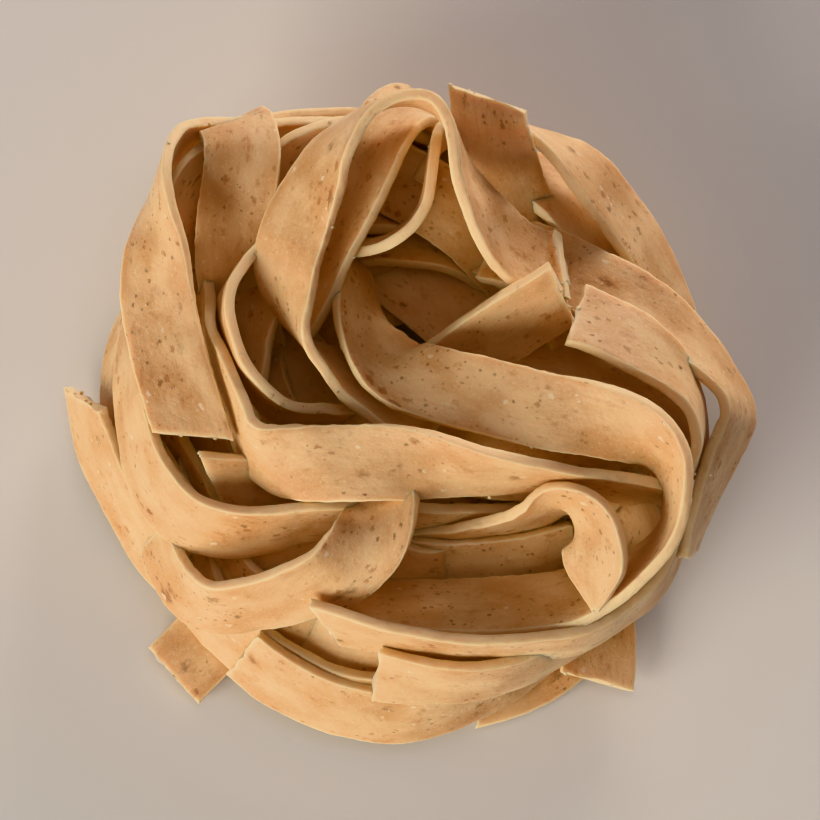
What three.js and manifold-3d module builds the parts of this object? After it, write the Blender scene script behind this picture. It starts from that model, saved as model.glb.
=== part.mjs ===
// A nest of dry wholewheat tagliatelle: long flat ribbons of pasta wound by hand into a round heap
// with an open hollow, dried until stiff, and resting on its own lowest ribbons.
// Millimetres, +Z up. The nest is one solid: ribbons joined with the packed ring of pasta under them.

import * as THREE from "three";
import Module from "manifold-3d";

// Driving dimensions
const ribbonWidth = 8.0;
const ribbonThickness = 1.2;
const stepLength = 5.7; // along a ribbon, between two cross-sections
const ringCentre = [-2.5, -0.5]; // middle of the packed ring of pasta
const ringRadius = 28.5; // out to the packed ring's widest place
const ringHeight = 16.5; // up to the packed ring's crest
const ringWobble = [0.045, 0.03]; // how uneven the ring is, three and five waves round
const hollowCentre = [-4.0, 10.5]; // where the hollow goes down through the nest
const hollowRadius = 5.5; // at the floor
const hollowFlare = 4.5; // how much wider the hollow is at the crest
const ringSides = 44;
const floorCut = 0; // the ribbons that lie lowest are flat where they rest

// Each ribbon's route, laid by hand: x, y and z of the middle of its width, then its roll in degrees
// about its own path. At 0 it lies flat, at 90 it stands on edge with its left side up, and at -90
// with its right side up. A fifth number narrows it, where an end is cut to a point.
const strands = {
  leftFront: [
    [-25.1, -2.9, 19, -8], [-26.3, 1, 19.4, -8], [-27.8, 6, 20.4, -10], [-28.8, 11, 21.5, -14],
    [-28.9, 15.5, 22.5, -32], [-28.8, 19.5, 22.4, -60], [-28.7, 22.6, 21.8, -76],
    [-28, 25.2, 20, -88], [-26.2, 27.6, 16.8, -96], [-22.8, 29.6, 13.4, -100],
    [-17.5, 31.2, 11, -100], [-11, 32, 9.8, -96], [-5, 31.4, 9.4, -94], [1, 30.4, 9, -92],
  ],
  leftInside: [
    [-24.6, 9, 8.5, 40], [-25.2, 14, 10.6, 44], [-26, 18.6, 13.2, 48], [-26, 22.4, 15.8, 48],
    [-24.3, 25.2, 16.8, 48], [-21, 27, 14.6, 54], [-16.8, 28.4, 12.6, 60], [-12, 29.2, 11.2, 64],
    [-7, 29.4, 10, 68], [-2, 28.8, 9, 70], [3, 27.4, 8.4, 70],
  ],
  leftTop: [
    [-17.5, 2, 3, -35], [-19.2, 6.5, 6.5, -25], [-20.4, 11, 10, -18], [-21, 16, 13.8, -14],
    [-20.6, 20.6, 17.8, -10], [-20, 24.2, 20.8, -4], [-19.9, 27, 21.3, 2], [-20.4, 29.2, 19.6, 6],
    [-21, 30.5, 16, 8], [-21.4, 31.1, 11.5, 8],
  ],
  litStrip: [
    [-14.9, 19.4, 14, 40], [-15.5, 22.4, 16, 42], [-14.8, 25.2, 17, 46], [-13, 27.2, 17, 54],
    [-10, 28.6, 16, 62], [-5.5, 29.2, 14.4, 74], [-1.5, 28.4, 12, 78], [3, 27.6, 10.6, 78],
  ],
  arch: [
    [-0.5, -1.6, 14.5, -140], [-5, 1.1, 15.8, -130], [-9.5, 4.4, 17.2, -122], [-13, 7.1, 18.8, -98],
    [-14.9, 10.5, 20.2, -72], [-15.6, 14.2, 22, -38], [-14.4, 18.7, 24, -25],
    [-12.2, 23.2, 26.3, -42], [-10, 27, 27.8, -62], [-6.8, 30.1, 28.3, -76],
    [-2.9, 31.4, 28.5, -82], [0.4, 30.3, 28.3, -86], [1.9, 27, 27.8, -86], [3.2, 23, 27, -72],
    [5.4, 19.4, 25, -50], [8.2, 16.4, 22.2, -34], [11.2, 14.9, 20.8, -22], [13.3, 14.6, 22.4, -14],
  ],
  thinLeft: [
    [-15, 21.4, 12.2, 84], [-16.8, 19.1, 13, 84], [-19.8, 15.6, 16.6, 86], [-22.1, 11.4, 18.8, 86],
    [-21.4, 7, 19, 86], [-19.3, 3.2, 18, 86], [-16.3, 0.8, 16.5, 86], [-12.8, 0.3, 14.3, 84],
    [-8.5, 0.2, 11.8, 78], [-3, 0.6, 9.8, 70],
  ],
  loopFace: [
    [-15.8, 18.5, 7, 20], [-17.2, 13.5, 8.4, 16], [-16.6, 8.5, 9.4, 10], [-13.8, 4.4, 10, 4],
    [-9.4, 1.6, 10, 0], [-4, -0.4, 9.6, 0],
  ],
  innerLeft: [
    [-0.6, 30.8, 12, 25], [-3, 30.2, 18.4, 28], [-5.2, 27.6, 22.4, 32], [-7, 23.5, 22.6, 36],
    [-9.3, 18.9, 20.8, 38], [-12, 14.5, 17.8, 40], [-14.4, 10.6, 14.8, 45],
  ],
  thinTop: [
    [2, 29.5, 12, 78], [0.5, 28.8, 16.2, 84], [-0.6, 27.2, 20, 88], [-1.1, 24.5, 21.4, 88],
    [-2.2, 20.8, 21.2, 84], [-4.4, 18.6, 20.5, 76], [-7.6, 17.6, 18.6, 70], [-11, 18.2, 15, 68],
    [-14.5, 20.5, 12, 70],
  ],
  topEnd: [
    [5.1, 31.6, 26, 14], [5.4, 28.6, 25, 12], [6.5, 25.4, 21, 0], [8.2, 22.2, 14.8, -12],
    [11, 18.8, 11.2, -20], [14.8, 15, 9.8, -28], [19.6, 10.8, 9.2, -36], [24, 5.8, 8.8, -48],
  ],
  rightBroad: [
    [5.8, 18.7, 13.2, -22], [10.2, 17.1, 15.6, -19], [15.1, 14.5, 17.4, -17],
    [20.1, 11.8, 18.6, -20], [24.8, 8.8, 18.2, -38], [28.8, 5, 17.6, -56], [31, 0.6, 16.6, -66],
    [29.2, -4.2, 15.2, -70], [27.3, -8.3, 14, -74], [25.9, -12, 13, -78], [25.4, -14, 12.4, -80],
  ],
  rightOuter: [
    [7, 30.4, 13, -80], [9.4, 29.8, 16, -80], [12.4, 28, 18, -66], [15.8, 25, 17.4, -52],
    [19.4, 21, 14.8, -50], [22.6, 16.2, 12.6, -54], [24.6, 10.8, 11.2, -58], [25, 5, 10.4, -60],
    [23.8, -0.5, 9.8, -60], [21, -5.5, 9.4, -55],
  ],
  rightDark: [
    [1, 28.5, 9, -50], [6.6, 27.4, 10.8, -46], [11.6, 24.2, 11.8, -42], [15.4, 19.8, 11.2, -42],
    [19, 15, 9.8, -48], [21.6, 9.6, 9, -54], [22.2, 4, 8.6, -58],
  ],
  hollowEnd: [
    [-4, 1.2, 12, 40], [0.6, 4.2, 15.5, 42], [5.2, 7.1, 19, 45], [9.3, 9.4, 22, 46],
    [13.1, 11.5, 24.2, 46],
  ],
  rightEnd: [
    [14.5, 9.1, 23.5, -30], [18.2, 7.6, 23.7, -34], [21.5, 5.7, 23.6, -40], [24.6, 3.2, 22.8, -54],
    [27, 0, 21.6, -72], [27.5, -3.9, 19.6, -84], [26.2, -7.4, 17.6, -84],
  ],
  fleckBand: [
    [5, 6.5, 10, -45], [10.5, 5.6, 13, -42], [16, 4, 15.3, -42], [21, 1.8, 16.2, -48],
    [24.8, -1.2, 16, -58], [25.8, -4.8, 15, -64],
  ],
  greatS: [
    [-13.4, 20.6, 12.5, -70], [-10.8, 18.4, 13, -74], [-8.9, 15.9, 14.4, -74],
    [-8.5, 13, 16.3, -64], [-7.5, 8.8, 19.2, -46], [-4.3, 3.9, 22.2, -18], [0.8, 1.6, 24.3, -4],
    [6, 0, 26, 4], [11.2, -1.6, 27, 12], [16.2, -2.6, 27.3, 30], [20.6, -3.9, 26.8, 46],
    [23.8, -6.2, 25.8, 64], [25.2, -9.8, 24.5, 76], [24.7, -13.6, 22.8, 78], [22.3, -17, 20.8, 70],
    [18.5, -19.4, 18.8, 54], [13.5, -20.7, 17, 40], [8, -21, 15.4, 36], [2.5, -20.7, 13.8, 38],
    [-3, -19.6, 12.2, 42], [-9, -17.5, 10.6, 48],
  ],
  midDark: [
    [-12, -1, 10, 24], [-7, -2.2, 12, 20], [-1.5, -3.4, 14, 16], [4.5, -4.4, 15.4, 14],
    [10.5, -5.2, 15.8, 14], [16, -5.8, 15.4, 18], [20.6, -7.2, 14.2, 30],
  ],
  foldBand: [
    [-24.4, 12.5, 9.5, 66], [-23.4, 7.8, 14.2, 72], [-21.8, 3, 17.8, 74], [-20.3, -0.9, 18.8, 76],
    [-19.1, -4, 19.6, 70], [-16.6, -5.6, 20.8, 44], [-13, -6.2, 22.3, 20], [-9, -6.4, 23.6, 6],
    [-4, -6.4, 24.4, 26], [1, -6.7, 24.3, 50], [6, -7.3, 23.6, 68], [10.5, -7.5, 22.4, 80],
    [15, -7.6, 20.6, 86], [19.4, -7.9, 18.8, 84], [22.6, -8.6, 17, 80], [24.4, -9.8, 15.8, 74],
  ],
  foldLeft: [
    [-29.2, -11, 7.6, 66], [-28, -14.5, 8.8, 66], [-25.8, -17.8, 11, 64], [-22.4, -20.1, 14.4, 65],
    [-18, -20.1, 17.2, 60], [-13.6, -19.1, 19.4, 54], [-9.8, -17.6, 20.8, 38],
    [-6.8, -14.6, 21.6, 6], [-5.2, -10.8, 21, -28], [-5.2, -7, 19, -48], [-6.6, -3, 16, -52],
    [-9.5, 0.5, 13, -52],
  ],
  leftBand: [
    [-28, 17, 13, 70], [-30.4, 12, 13.4, 70], [-31.5, 6, 13.4, 70], [-31.2, 0, 13.4, 66],
    [-29.9, -5.6, 14, 60], [-27, -9.9, 15, 58], [-23, -12, 16, 63], [-18.5, -12.3, 16.6, 70],
    [-14, -11.6, 17, 78], [-9, -11, 16.5, 84], [-4, -11, 15, 80], [2, -11.5, 12.6, 72],
    [8, -11.4, 10.6, 64], [13, -10.4, 9, 58],
  ],
  paleEnd: [
    [-23.1, -7.9, 17, 48], [-19.5, -8.1, 15.8, 46], [-15, -8.3, 14.8, 48], [-10, -8, 13.6, 54],
    [-5, -6.8, 12.4, 60],
  ],
  litLow: [
    [-30, -3.5, 6.4, 58], [-27.8, -8, 7.6, 52], [-25, -11.8, 8.8, 42], [-21.4, -14.4, 9.6, 36],
    [-17.4, -15, 10, 34], [-13.2, -13.6, 10, 38], [-8.6, -11, 9.6, 48],
  ],
  tipLeft: [
    [-36.9, 3.6, 6, 66], [-36, -0.3, 6, 64], [-34.3, -4.4, 6.2, 62], [-32, -9, 6, 60],
    [-29.4, -12.8, 5, 58], [-25.8, -16, 4.6, 52], [-21.5, -18, 4.4, 44], [-16, -18.6, 4.2, 36],
  ],
  backLeft: [
    [-26.5, 19.5, 8.5, 72], [-30, 14.6, 8.5, 70], [-32.8, 9.2, 8, 68], [-33.6, 3.2, 7.2, 66],
    [-32.6, -3, 6.2, 66], [-30.2, -9, 5.2, 68], [-26.5, -14.8, 4.8, 70],
  ],
  tabLeft: [
    [-27.8, -25.6, 1.8, 2], [-24.2, -22, 2.6, 4], [-20, -17.6, 3.4, 6], [-15, -12.6, 4, 6],
    [-9.5, -7.5, 4, 4],
  ],
  lowFront: [
    [-20, -23.2, 6.2, 50], [-17.4, -25.3, 6, 50], [-14.1, -27.1, 5.8, 52], [-9.4, -29, 5.4, 54],
    [-4.3, -29.7, 5.2, 56], [0.8, -29, 5.4, 60], [5.6, -26.8, 5.4, 60], [9.8, -23.6, 5, 56],
    [13.2, -19.8, 4.4, 48], [15.6, -15.9, 4, 40],
  ],
  fleckLow: [
    [-20, -13, 6.5, 45], [-17.6, -17.4, 8, 40], [-14, -21.2, 9, 34], [-9, -23.4, 9.4, 32],
    [-3.5, -24.2, 9.8, 38], [2.5, -23.9, 10, 50], [8.5, -22.2, 9.8, 56], [13.5, -19.6, 9.4, 58],
  ],
  rimLow: [
    [-11.6, -21.8, 17.6, 76], [-6.5, -23.1, 18.2, 82], [-1.5, -23.9, 18.2, 85],
    [4, -24.5, 17.8, 86], [9.3, -24.2, 17.2, 86], [14.6, -22.9, 16.4, 86], [19.2, -20.2, 15.6, 86],
    [22.8, -16.8, 15, 86], [25, -13, 14.4, 86], [25.6, -9.6, 13.6, 84], [25, -6, 12.4, 80],
  ],
  creamLow: [
    [-6.4, -26.1, 13, 56], [-2.3, -26.9, 13, 64], [2.5, -27, 12.8, 70], [7.8, -26.1, 12, 76],
    [13, -23.8, 10.8, 80], [17.6, -20.6, 10, 82], [21, -17.2, 9.6, 82], [22.8, -13.2, 9.2, 80],
    [23.2, -9.2, 8.8, 78],
  ],
  tabFront: [
    [17.1, -26.4, 2.9, 8], [17.3, -22.5, 3, 6], [16.8, -17.5, 3.2, 6], [15, -12, 3.6, 6],
    [11.5, -7, 4, 6],
  ],
  tabLow: [
    [4.6, -27, 1.3, 4], [8.4, -25.8, 1.3, 4], [12.2, -23.6, 1.4, 5], [15.6, -20, 1.6, 6],
    [18, -15.5, 1.8, 6],
  ],
  curl: [
    [-1, -13.2, 10, 58], [3, -12.6, 11.6, 66], [7, -11.6, 14.4, 76], [10.4, -10.7, 17.6, 86],
    [13.2, -10.1, 20.2, 84], [15.5, -11.7, 21.6, 62], [16.6, -14, 22, 45],
    [16.9, -16.7, 21.5, 38, 0.95], [17.1, -18.9, 20.5, 36, 0.55], [17.3, -21, 19.2, 36, 0.1],
  ],
  litBend: [
    [10, -5.2, 10, 54], [15, -6, 11.6, 50], [19.6, -8, 13, 48], [22, -11.6, 13.2, 48],
    [21.2, -15.2, 12.2, 46], [17.6, -17.6, 11, 44], [12.5, -18.2, 10, 42],
  ],
  midLow: [
    [-9, -12.5, 8, 48], [-4.6, -15, 9.4, 42], [0.4, -15.9, 10.4, 40], [5.4, -16.1, 10.8, 40],
    [10.4, -15.8, 10.4, 40], [15, -14.8, 9.6, 42],
  ],
  dimMid: [
    [-9.5, -10.5, 9, 46], [-4, -9.9, 10.6, 42], [1, -9.7, 12, 40], [6, -8.8, 13.2, 44],
    [11, -7.6, 14, 50],
  ],
  farWall: [
    [-14, 23.5, 8.5, 10], [-9.5, 21, 9, 8], [-5, 17.8, 9, 6], [-1, 14.7, 9, 6], [3, 11.3, 9.3, 8],
    [7, 8, 9.8, 12], [11, 4.5, 10, 20],
  ],
  farWallHigh: [
    [-11, 26, 10, 30], [-6, 24.8, 12.5, 28], [-1, 22.6, 13.6, 26], [4, 19.6, 13, 24],
    [8.5, 15.8, 10.8, 24], [13, 11.4, 9, 24],
  ],
};

// The bands that go round under the others: radius, height, roll and wave of each whole turn
const hiddenTurns = [
  { radius: 27.0, height: 6.0, roll: 64, wave: 1.2, phase: 0.4 },
  { radius: 25.0, height: 12.0, roll: 58, wave: 1.0, phase: 2.1 },
];

// A closed band of flat section along a list of middle points with their across directions
function bandGeometry(middles, acrosses, normals, closed) {
  const half = ribbonThickness / 2;
  const positions = [];
  const indices = [];
  const rings = middles.length;
  for (let ring = 0; ring < rings; ring += 1) {
    const side = acrosses[ring].clone().multiplyScalar(ribbonWidth / 2);
    const lift = normals[ring].clone().multiplyScalar(half);
    for (const [sideSign, liftSign] of [[-1, -1], [1, -1], [1, 1], [-1, 1]]) {
      const corner = middles[ring].clone();
      corner.addScaledVector(side, sideSign).addScaledVector(lift, liftSign);
      positions.push(corner.x, corner.y, corner.z);
    }
  }
  const last = closed ? rings : rings - 1;
  for (let ring = 0; ring < last; ring += 1) {
    const here = ring * 4;
    const next = ((ring + 1) % rings) * 4;
    for (let corner = 0; corner < 4; corner += 1) {
      const turn = (corner + 1) % 4;
      indices.push(here + corner, next + corner, next + turn);
      indices.push(here + corner, next + turn, here + turn);
    }
  }
  if (!closed) {
    const end = (rings - 1) * 4;
    indices.push(0, 1, 2, 0, 2, 3);
    indices.push(end, end + 2, end + 1, end, end + 3, end + 2);
  }
  const geometry = new THREE.BufferGeometry();
  geometry.setAttribute("position", new THREE.Float32BufferAttribute(positions, 3));
  geometry.setIndex(indices);
  return geometry;
}

// The across direction and the face direction at a place on a route, from its heading and roll
function crossFrame(heading, roll, narrowing) {
  const level = new THREE.Vector3(0, 0, 1).cross(heading).normalize();
  const rise = heading.clone().cross(level).normalize();
  const across = level.multiplyScalar(Math.cos(roll)).addScaledVector(rise, Math.sin(roll));
  const normal = heading.clone().cross(across).normalize();
  return { across: across.multiplyScalar(narrowing), normal };
}

// One ribbon of the hand-laid list
function ribbonGeometry(stations) {
  const places = stations.map(([x, y, z]) => new THREE.Vector3(x, y, z));
  const route = new THREE.CatmullRomCurve3(places, false, "catmullrom", 0.5);
  const rolls = stations.map((station) => new THREE.Vector3(station[3], station[4] ?? 1, 0));
  const twist = new THREE.CatmullRomCurve3(rolls, false, "catmullrom", 0.5);
  route.arcLengthDivisions = 400;
  const steps = Math.max(2, Math.round(route.getLength() / stepLength));
  const middles = [];
  const acrosses = [];
  const normals = [];
  for (let step = 0; step <= steps; step += 1) {
    const along = route.getUtoTmapping(step / steps);
    const turned = twist.getPoint(along);
    const heading = route.getTangent(along);
    const frame = crossFrame(heading, THREE.MathUtils.degToRad(turned.x), turned.y);
    middles.push(route.getPoint(along));
    acrosses.push(frame.across);
    normals.push(frame.normal);
  }
  return bandGeometry(middles, acrosses, normals, false);
}

// How far the packed ring reaches in a direction
function ringReach(angle) {
  const three = ringWobble[0] * Math.sin(3 * angle + 0.7);
  const five = ringWobble[1] * Math.sin(5 * angle + 2.0);
  return ringRadius * (1 + three + five);
}

// One whole turn of pasta low down round the ring
function turnGeometry(turn) {
  const sides = 2 * Math.round((Math.PI * turn.radius) / stepLength);
  const middles = [];
  const acrosses = [];
  const normals = [];
  for (let side = 0; side < sides; side += 1) {
    const angle = (side / sides) * 2 * Math.PI;
    const reach = (turn.radius / ringRadius) * ringReach(angle);
    const height = turn.height + turn.wave * Math.sin(2 * angle + turn.phase);
    const x = ringCentre[0] + reach * Math.cos(angle);
    const y = ringCentre[1] + reach * Math.sin(angle);
    const heading = new THREE.Vector3(-Math.sin(angle), Math.cos(angle), 0);
    const frame = crossFrame(heading, THREE.MathUtils.degToRad(turn.roll), 1);
    middles.push(new THREE.Vector3(x, y, height));
    acrosses.push(frame.across);
    normals.push(frame.normal);
  }
  return bandGeometry(middles, acrosses, normals, true);
}

// The packed ring: from the hollow's wall over the crest and down the outside, then in along the floor
function packedRingGeometry() {
  const profile = [
    { share: 0.0, height: 0.0, flare: 0 },
    { share: 0.0, height: 0.5, flare: 0.35 },
    { share: 0.0, height: 0.8, flare: 1 },
    { share: 0.22, height: 0.97, flare: 1 },
    { share: 0.5, height: 1.0, flare: 1 },
    { share: 0.74, height: 0.86, flare: 1 },
    { share: 0.9, height: 0.6, flare: 1 },
    { share: 1.0, height: 0.3, flare: 1 },
    { share: 0.93, height: 0.0, flare: 1 },
  ];
  const positions = [];
  const indices = [];
  const count = profile.length;
  for (let side = 0; side < ringSides; side += 1) {
    const angle = (side / ringSides) * 2 * Math.PI;
    const direction = new THREE.Vector2(Math.cos(angle), Math.sin(angle));
    const outer = direction.clone().multiplyScalar(ringReach(angle));
    outer.add(new THREE.Vector2(...ringCentre));
    for (const place of profile) {
      const inner = direction.clone().multiplyScalar(hollowRadius + hollowFlare * place.flare);
      inner.add(new THREE.Vector2(...hollowCentre));
      const spot = inner.lerp(outer, place.share);
      positions.push(spot.x, spot.y, place.height * ringHeight);
    }
  }
  for (let side = 0; side < ringSides; side += 1) {
    const here = side * count;
    const next = ((side + 1) % ringSides) * count;
    for (let place = 0; place < count; place += 1) {
      const on = (place + 1) % count;
      indices.push(here + place, here + on, next + on);
      indices.push(here + place, next + on, next + place);
    }
  }
  const geometry = new THREE.BufferGeometry();
  geometry.setAttribute("position", new THREE.Float32BufferAttribute(positions, 3));
  geometry.setIndex(indices);
  return geometry;
}

const wasm = await Module();
wasm.setup();

// A closed three.js geometry as a solid, with its faces turned outward
function solidOf(geometry) {
  const vertProperties = Float32Array.from(geometry.getAttribute("position").array);
  const triVerts = Uint32Array.from(geometry.getIndex().array);
  const solid = new wasm.Manifold(new wasm.Mesh({ numProp: 3, vertProperties, triVerts }));
  if (solid.volume() > 0) {
    return solid;
  }
  for (let corner = 0; corner < triVerts.length; corner += 3) {
    [triVerts[corner], triVerts[corner + 1]] = [triVerts[corner + 1], triVerts[corner]];
  }
  return new wasm.Manifold(new wasm.Mesh({ numProp: 3, vertProperties, triVerts }));
}

// The outer shell of a solid, so that no closed gap is left inside it
function outerShell(solid) {
  const shells = solid.decompose();
  shells.sort((a, b) => b.volume() - a.volume());
  return shells[0];
}

function geometryOf(solid) {
  const mesh = solid.getMesh();
  const geometry = new THREE.BufferGeometry();
  geometry.setAttribute("position", new THREE.Float32BufferAttribute(mesh.vertProperties, 3));
  geometry.setIndex(Array.from(mesh.triVerts));
  return geometry;
}

let nest = solidOf(packedRingGeometry());
for (const turn of hiddenTurns) {
  nest = nest.add(solidOf(turnGeometry(turn)));
}
for (const stations of Object.values(strands)) {
  nest = nest.add(solidOf(ribbonGeometry(stations)));
}
nest = outerShell(nest.trimByPlane([0, 0, 1], floorCut).simplify(0.05));

const geometry = geometryOf(nest);
geometry.computeBoundingBox();
const middle = geometry.boundingBox.getCenter(new THREE.Vector3());
geometry.translate(-middle.x, -middle.y, -geometry.boundingBox.min.z);
geometry.computeVertexNormals();

const pastaNest = new THREE.Mesh(
  geometry,
  new THREE.MeshStandardMaterial({ color: 0xc9a277, roughness: 0.75, metalness: 0 }),
);
pastaNest.name = "pasta_nest";

const part = new THREE.Group();
part.add(pastaNest);

export default part;
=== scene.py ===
import math
import random

import bpy
import numpy as np
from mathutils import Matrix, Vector


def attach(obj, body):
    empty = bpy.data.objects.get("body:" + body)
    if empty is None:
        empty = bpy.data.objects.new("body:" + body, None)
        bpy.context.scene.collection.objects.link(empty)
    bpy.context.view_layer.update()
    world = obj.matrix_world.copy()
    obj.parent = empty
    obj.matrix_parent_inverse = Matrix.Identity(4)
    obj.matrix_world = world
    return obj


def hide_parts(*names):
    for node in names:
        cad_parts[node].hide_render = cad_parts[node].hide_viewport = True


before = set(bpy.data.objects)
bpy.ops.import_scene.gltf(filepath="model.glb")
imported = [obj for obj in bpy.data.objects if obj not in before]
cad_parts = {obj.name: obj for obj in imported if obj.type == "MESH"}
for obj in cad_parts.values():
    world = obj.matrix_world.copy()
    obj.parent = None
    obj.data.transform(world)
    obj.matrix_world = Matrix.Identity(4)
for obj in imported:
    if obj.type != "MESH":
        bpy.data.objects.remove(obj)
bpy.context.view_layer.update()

bl_info = {
    "name": "Dry Pasta Nest",
    "version": (1, 0, 0),
    "blender": (4, 5, 0),
    "location": "3D View > Sidebar > Pasta Nest",
    "description": "Builds a nest of dry wholewheat tagliatelle and the studio it is seen in",
    "category": "Object",
}

MM = 0.001
NODE = "pasta_nest"
BODY = "root"

# From the middle of the heap, where the ribbons are laid out, to the middle of the solid's box
NEST_SHIFT = Vector((2.970, -0.949, 0.0))

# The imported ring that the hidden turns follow, as in the solid: an uneven outline round one centre,
# and a hollow that goes down through it round another
RING_CENTRE = Vector((-2.5, -0.5, 0.0))
RING_RADIUS = 28.5
RING_WAVES = ((3, 0.045, 0.7), (5, 0.03, 2.0))
HOLLOW_CENTRE = Vector((-4.0, 10.5, 0.0))
HOLLOW_RADIUS = 8.0
# Stations in one turn of a hidden ribbon, and how far it wanders in and out, as a share of the ring
PLACES_PER_TURN = 14
WOUND_WANDER = 0.06

# How the ribbons settle: the spacing of the places that are pressed, the gap kept between the middles
# of two ribbons that lie face to face, how many times the pushes are repeated, how near two places are
# before they are looked at, how far apart they are along one ribbon before it can press on itself, how
# far off a ribbon's face another is still pressed, the deepest push, and what a push keeps each time
HALF_WIDTH = 4.0
SETTLE_STEP = 2.2
SETTLE_GAP = 1.3
SETTLE_ROUNDS = 220
SETTLE_NEAR = 9.0
SETTLE_OWN_RUN = 14.0
SETTLE_CATCH = 4.5
SETTLE_DEEPEST = 2.2
SETTLE_KEEP = 0.998
# Height of the middle of a ribbon that lies flat on the floor
FLAT_HEIGHT = 0.62

# How far along from a cut end its slant reaches, and how far in the raw dough of the cut does
SLANT_REACH = 5.0
CUT_REACH = 0.8

# How far a listed ribbon gives way in plan, in height and in turning over, next to a wound turn's 1,
# and the ones that are held where they lie
LAID_FREEDOM = (0.2, 0.35, 0.12)
FREEDOM = {
    "tab_left": (0.0, 0.0, 0.0),
    "tab_front": (0.0, 0.0, 0.0),
    "tab_low": (0.0, 0.0, 0.0),
    "tip_left": (0.05, 0.1, 0.05),
    "rim_low": (0.08, 0.15, 0.05),
    "cream_low": (0.08, 0.15, 0.05),
    "low_front": (0.08, 0.15, 0.05),
    "great_s": (0.12, 0.25, 0.06),
    "arch": (0.12, 0.25, 0.06),
    "right_broad": (0.08, 0.15, 0.06),
    "hollow_end": (0.12, 0.2, 0.06),
    "right_end": (0.12, 0.2, 0.06),
    "top_end": (0.12, 0.2, 0.06),
    "pale_end": (0.12, 0.2, 0.06),
    "left_front": (0.12, 0.25, 0.06),
    "left_top": (0.12, 0.25, 0.06),
    "left_band": (0.12, 0.25, 0.06),
    "fold_left": (0.12, 0.25, 0.06),
    "curl": (0.12, 0.25, 0.06),
}
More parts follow.
